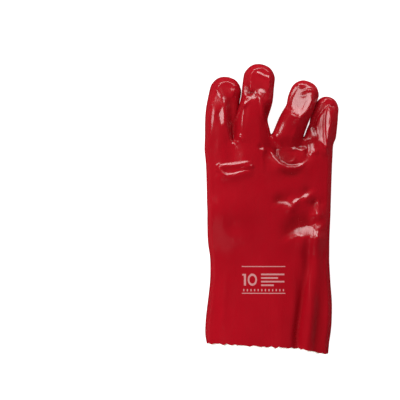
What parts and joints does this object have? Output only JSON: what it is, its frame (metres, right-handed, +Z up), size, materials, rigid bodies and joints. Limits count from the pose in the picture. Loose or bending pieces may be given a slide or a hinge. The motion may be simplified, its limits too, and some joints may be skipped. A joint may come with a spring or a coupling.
{
  "type": "coated work glove",
  "caption": "Right-hand work glove: a dipped PVC coat over a knitted cotton lining, with a wide gauntlet cuff and a pinked edge, lying with its back up.",
  "frame": {"origin": "on the floor, under the middle of the glove's bounding box, as it lies with its back up", "axes": "+Y from the cuff to the fingertips, +X to the little finger's side, +Z up, out of the back of the hand"},
  "size_m": [0.1288, 0.277, 0.0408],
  "materials": {
    "pvc": "glossy",
    "cotton": "knitted"
  },
  "bodies": {
    "root": {"pvc_coat": "pvc", "cotton_lining": "cotton"}
  },
  "joints": []
}
